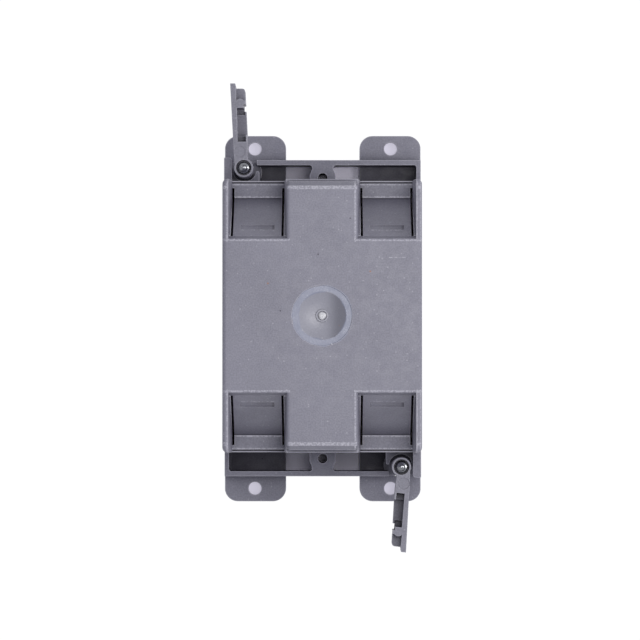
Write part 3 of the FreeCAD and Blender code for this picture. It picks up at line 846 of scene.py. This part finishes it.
def closed_below(points: np.ndarray, level: float) -> np.ndarray:
    """Close a dome with a flat underside.

    Args:
        points: the dome's rows, from its middle to its rim.
        level: the underside's height.

    Returns:
        The rows, with one at the rim and one at the middle of the underside added.
    """
    rim = points[-1].copy()
    rim[:, 2] = level
    middle = np.zeros_like(rim)
    middle[:] = rim.mean(axis=0)
    return np.concatenate([points, rim[None], middle[None]])


@dataclass
class CableFlaps:
    """The four sprung flaps over the cable entries."""

    nodes: dict[str, bpy.types.Object]

    def build(self) -> list[bpy.types.Object]:
        """Dress the flaps.

        Returns:
            The dressed pieces.
        """
        finish = FlapPlastic("flap_plastic", colour=linear(145, 144, 158), edge_highlight_gain=0.2).material()
        flaps = [self.nodes[name] for name in sorted(self.nodes) if name.startswith("cable_flap")]
        for flap in flaps:
            dress(flap, finish)
        return flaps


@dataclass
class ClampWings:
    """The two swing-out wings that hold the box in the wall, the lower one with more painted shade in its
    web.
    """

    nodes: dict[str, bpy.types.Object]
    # how much painted shade goes into each wing's deep places: more in the lower one, which faces away from
    # the key
    shades: dict[End, float] = field(default_factory=lambda: {End.UPPER: 0.6, End.LOWER: 1.0})

    def build(self) -> list[bpy.types.Object]:
        """Dress the wings.

        Returns:
            The dressed pieces.
        """
        wings = []
        for end, shade in self.shades.items():
            finish = MouldedPlastic(f"shaded_wing_plastic_{end.word}", colour=linear(150, 149, 162), roughness=0.4,
                                    edge_highlight_gain=0.3, cavity_shade_depth=shade, cavity_open=1.0).material()
            wings.append(self.nodes[f"clamp_wing_{end.word}"])
            dress(wings[-1], finish)
        return wings


@dataclass
class ClampScrews:
    """The two long screws that carry the wings, with their rolled threads and cross recesses."""

    nodes: dict[str, bpy.types.Object]
    pitch: float = 0.85 * MM
    thread_depth: float = 0.3 * MM
    crest_radius: float = 1.74 * MM
    tip_radius: float = 0.42 * MM
    tip_length: float = 1.25 * MM
    head_radius: float = 3.4 * MM
    head_front: float = 0.3 * MM
    head_back: float = 2.6 * MM
    head_round: float = 0.7 * MM
    recess_reach: float = 2.3 * MM
    recess_half_width: float = 0.5 * MM
    recess_depth: float = 1.5 * MM
    columns: int = 72
    rows_a_turn: int = 12

    def build(self) -> list[bpy.types.Object]:
        """Make both screws in place of the plain ones.

        Returns:
            The new pieces.
        """
        finish = BrightZinc().material()
        return [self.screw(end, finish) for end in End]

    def screw(self, end: End, finish: bpy.types.Material) -> bpy.types.Object:
        """One screw, from the middle of its head's front to the middle of its point.

        Args:
            end: which end of the box it is at.
            finish: its material.

        Returns:
            The screw.
        """
        low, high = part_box(f"clamp_screw_{end.word}")
        centre = (low + high) / 2
        angle = np.linspace(0, math.tau, self.columns, endpoint=False)
        rows = np.concatenate([self.head(angle), self.shank(angle, high.z)])
        rows[..., 0] += centre.x
        rows[..., 1] += centre.y
        piece = surface(f"threaded_screw_{end.word}", rows)
        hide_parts(f"clamp_screw_{end.word}")
        return settle(piece, f"screw_{end.word}", finish)

    def head(self, angle: np.ndarray) -> np.ndarray:
        """The pan head: a disc with a cross sunk into it, a round shoulder, a side and an underside.

        Args:
            angle: the angle of each column.

        Returns:
            The head's rows. The cross is the lower of two smooth grooves, one along each axis.
        """
        flat = np.linspace(0, self.head_radius - self.head_round, 30)
        turn = np.linspace(0, math.pi / 2, 8)[1:]
        shoulder = self.head_radius - self.head_round * (1 - np.sin(turn))
        radius = np.concatenate([flat, shoulder, [self.head_radius, self.crest_radius]])
        level = np.concatenate([
            np.full(flat.shape, self.head_front), self.head_front + self.head_round * (1 - np.cos(turn)),
            [self.head_back, self.head_back],
        ])
        across = radius[:, None] * np.cos(angle)
        along = radius[:, None] * np.sin(angle)
        sunk = np.maximum(self.groove(across, along), self.groove(along, across))
        height = level[:, None] + self.recess_depth * sunk
        return np.stack([across, along, height], axis=-1)

    def groove(self, across: np.ndarray, along: np.ndarray) -> np.ndarray:
        """How deep one arm of the cross is, from 0 to 1: full in its middle, rising towards its ends.

        Args:
            across: the distance from the arm's line.
            along: the distance along it.

        Returns:
            The depth at each point.
        """
        half = self.recess_half_width
        wall = np.clip((1.25 * half - np.abs(across)) / (0.35 * half), 0, 1)
        ends = np.clip((self.recess_reach - np.abs(along)) / (0.7 * self.recess_reach), 0, 1)
        return wall * ends

    def shank(self, angle: np.ndarray, tip: float) -> np.ndarray:
        """The threaded shank and its point.

        The radius is the crest's, less the thread's depth times a rounded triangle wave of height over
        pitch minus angle over a full turn. Over the point the crest's radius falls in a straight line.

        Args:
            angle: the angle of each column.
            tip: the height of the point.

        Returns:
            The shank's rows.
        """
        length = tip - self.head_back
        count = int(length / self.pitch * self.rows_a_turn)
        height = np.linspace(self.head_back, tip, count)[:, None]
        phase = (height - self.head_back) / self.pitch - angle / math.tau
        wave = np.abs(2 * (phase % 1.0) - 1.0)
        depth = self.thread_depth * np.clip(1.25 * wave - 0.1, 0, 1)
        fall = np.clip((height - (tip - self.tip_length)) / self.tip_length, 0, 1)
        crest = self.crest_radius + (self.tip_radius - self.crest_radius) * fall ** 1.3
        start = np.clip((height - self.head_back) / self.pitch, 0, 1)
        radius = crest - depth * start * (1 - 0.35 * fall)
        rows = np.stack([
            radius * np.cos(angle), radius * np.sin(angle), np.broadcast_to(height, radius.shape)], axis=-1)
        point = np.zeros((1, len(angle), 3))
        point[..., 2] = tip
        return np.concatenate([rows, point])


def dress(node: bpy.types.Object, finish: bpy.types.Material) -> None:
    """Give a node of the model its finish.

    Args:
        node: the node's object.
        finish: the material.
    """
    for slot in node.material_slots:
        slot.material = finish


def settle(piece: bpy.types.Object, body: str, finish: bpy.types.Material) -> bpy.types.Object:
    """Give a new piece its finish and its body.

    Args:
        piece: the piece.
        body: the body that it moves with.
        finish: the material.

    Returns:
        The same piece.
    """
    piece.data.materials.append(finish)
    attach(piece, body)
    return piece


# Studio


@dataclass(frozen=True)
class Lamp:
    """A round soft lamp that points at the box and that the camera doesn't see."""

    name: str
    place: Vector
    size: float
    power: float
    colour: Colour = (1.0, 0.99, 0.985)

    def hang(self) -> None:
        """Add the lamp to the scene."""
        data = bpy.data.lights.new(self.name, "AREA")
        data.shape = "DISK"
        data.size = self.size
        data.energy = self.power
        data.color = self.colour
        lamp = bpy.data.objects.new(self.name, data)
        lamp.location = self.place
        lamp.rotation_mode = "QUATERNION"
        lamp.rotation_quaternion = self.place.to_track_quat("Z", "Y")
        lamp.visible_camera = False
        bpy.context.scene.collection.objects.link(lamp)


@dataclass
class Studio:
    """A white floor, a soft key from the right, two small lamps overhead and a camera straight above."""

    camera_place: Vector = field(default_factory=lambda: Vector((2.9, -13.6, 1120.0)) * MM)
    camera_target: Vector = field(default_factory=lambda: Vector((-0.84, -0.41, 0.0)) * MM)
    lens: float = 210.0
    lamps: tuple[Lamp, ...] = (
        Lamp("key", Vector((1.0, 0.0, 0.75)).normalized() * 1.3, 0.5, 3.7),
        Lamp("overhead", Vector((0.1, 0.04, 0.47)), 0.2, 0.3),
        Lamp("close", Vector((0.03, 0.0, 0.31)), 0.1, 0.095),
    )
    fill: float = 0.36
    fill_colour: Colour = (0.93, 0.94, 1.0)
    floor_half: float = 3.0
    floor_colour: Colour = linear(232, 230, 238)
    floor_seen: Colour = (1.18, 1.15, 1.32)
    floor_glow: float = 1.06
    floor_glow_share: float = 0.93
    footprint_across: float = 29.0 * MM
    footprint_along: float = 46.6 * MM
    ear_hole: Vector = field(default_factory=lambda: Vector((20.3, 50.85, 0.0)) * MM)
    ear_hole_radius: float = 3.0 * MM
    # painted light: a lilac glow on the floor under the ear holes
    hole_glow: float = 0.6
    hole_light_colour: Colour = linear(216, 213, 228)

    def build(self) -> None:
        """Make the camera, the lights, the world and the floor."""
        self.camera()
        for lamp in self.lamps:
            lamp.hang()
        self.world()
        self.floor()
        bpy.context.scene.view_settings.view_transform = "Standard"

    def camera(self) -> None:
        """Place the camera above the back panel, with +Y up in the picture."""
        data = bpy.data.cameras.new("camera")
        data.lens = self.lens
        data.sensor_width = 36.0
        data.clip_start = 0.05
        camera = bpy.data.objects.new("camera", data)
        back = (self.camera_place - self.camera_target).normalized()
        right = Vector((0.0, 1.0, 0.0)).cross(back).normalized()
        camera.matrix_world = Matrix((right, back.cross(right), back)).transposed().to_4x4()
        camera.location = self.camera_place
        bpy.context.scene.collection.objects.link(camera)
        bpy.context.scene.camera = camera

    def world(self) -> None:
        """Fill evenly from all round, and show plain white to the camera."""
        world = bpy.data.worlds.new("studio")
        world.use_nodes = True
        tree = world.node_tree
        plain = tree.nodes["Background"]
        plain.inputs["Color"].default_value = (*self.fill_colour, 1.0)
        plain.inputs["Strength"].default_value = self.fill
        white = tree.nodes.new("ShaderNodeBackground")
        white.inputs["Color"].default_value = (1.0, 1.0, 1.0, 1.0)
        mix = tree.nodes.new("ShaderNodeMixShader")
        tree.links.new(tree.nodes.new("ShaderNodeLightPath").outputs["Is Camera Ray"], mix.inputs[0])
        tree.links.new(plain.outputs[0], mix.inputs[1])
        tree.links.new(white.outputs[0], mix.inputs[2])
        tree.links.new(mix.outputs[0], tree.nodes["World Output"].inputs["Surface"])
        bpy.context.scene.world = world

    def floor(self) -> None:
        """Lay the white floor, which keeps a faint shadow, shows pale lilac through the openings and has a
        painted light glowing under the ear holes.
        """
        half = self.floor_half
        mesh = bpy.data.meshes.new("floor")
        mesh.from_pydata([(-half, -half, 0), (half, -half, 0), (half, half, 0), (-half, half, 0)], [],
                         [(0, 1, 2, 3)])
        floor = bpy.data.objects.new("floor", mesh)
        floor.location.z = -0.02 * MM
        bpy.context.scene.collection.objects.link(floor)
        mesh.materials.append(self.floor_material())

    def floor_material(self) -> bpy.types.Material:
        """Build the floor's material.

        Returns:
            The material: diffuse to light, white to the eye in the open, lilac under the box, and a lilac
                painted light glowing under the ear holes.
        """
        nodes = NodeTree("floor")
        across, along, _ = nodes.coordinates()
        under_box = nodes.all_of(nodes.inside(along, self.footprint_along),
                                 nodes.inside(across, self.footprint_across))
        quarter = nodes.add("ShaderNodeCombineXYZ", {0: nodes.math("ABSOLUTE", across),
                                                     1: nodes.math("ABSOLUTE", along)}).outputs[0]
        from_hole = nodes.add("ShaderNodeVectorMath", {0: quarter, 1: self.ear_hole}, operation="DISTANCE")
        under_hole = nodes.math("LESS_THAN", from_hole.outputs["Value"], self.ear_hole_radius)
        in_open = nodes.math("SUBTRACT", 1.0, nodes.math("MAXIMUM", under_box, under_hole))
        plain = nodes.add("ShaderNodeBsdfDiffuse", {"Color": (*self.floor_colour, 1.0)})
        seen = nodes.add("ShaderNodeBsdfDiffuse", {"Color": (*self.floor_seen, 1.0)})
        glow = nodes.add("ShaderNodeEmission", {"Color": (1.0, 1.0, 1.0, 1.0), "Strength": self.floor_glow})
        # painted light: a lilac glow on the floor under the ear holes
        lilac = nodes.add("ShaderNodeEmission", {"Color": (*self.hole_light_colour, 1.0), "Strength": 1.0})
        layers = ((nodes.math("MULTIPLY", in_open, self.floor_glow_share), glow),
                  (nodes.math("MULTIPLY", under_hole, self.hole_glow), lilac))
        for share, layer in layers:
            seen = nodes.add("ShaderNodeMixShader", {0: share, 1: seen.outputs[0], 2: layer.outputs[0]})
        direct = seen_directly(nodes.tree)
        mix = nodes.add("ShaderNodeMixShader", {0: direct, 1: plain.outputs[0], 2: seen.outputs[0]})
        nodes.tree.links.new(mix.outputs[0], nodes.output.inputs["Surface"])
        return nodes.material


def seen_directly(tree: bpy.types.NodeTree) -> bpy.types.NodeSocket:
    """Whether a ray comes from the camera, or through or off something clear or glossy.

    Args:
        tree: the node tree to add to.

    Returns:
        An output that is 1 for such a ray.
    """
    path = tree.nodes.new("ShaderNodeLightPath")
    total = path.outputs["Is Camera Ray"]
    for name in ("Is Glossy Ray", "Is Transmission Ray"):
        either = tree.nodes.new("ShaderNodeMath")
        either.operation = "MAXIMUM"
        tree.links.new(total, either.inputs[0])
        tree.links.new(path.outputs[name], either.inputs[1])
        total = either.outputs[0]
    return total


def main() -> None:
    """Build the object in order and log each piece's face count."""
    logging.basicConfig(level=logging.INFO, format="%(message)s")
    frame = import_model()
    builders: list[Callable[[], list[bpy.types.Object]]] = [
        MouldedBox(frame["nodes"]).build,
        CableFlaps(frame["nodes"]).build,
        ClampWings(frame["nodes"]).build,
        ClampScrews(frame["nodes"]).build,
    ]
    for build in builders:
        for piece in build():
            log.info("%s: %d faces", piece.name, len(piece.data.polygons))
    Studio().build()


if __name__ == "__main__":
    main()
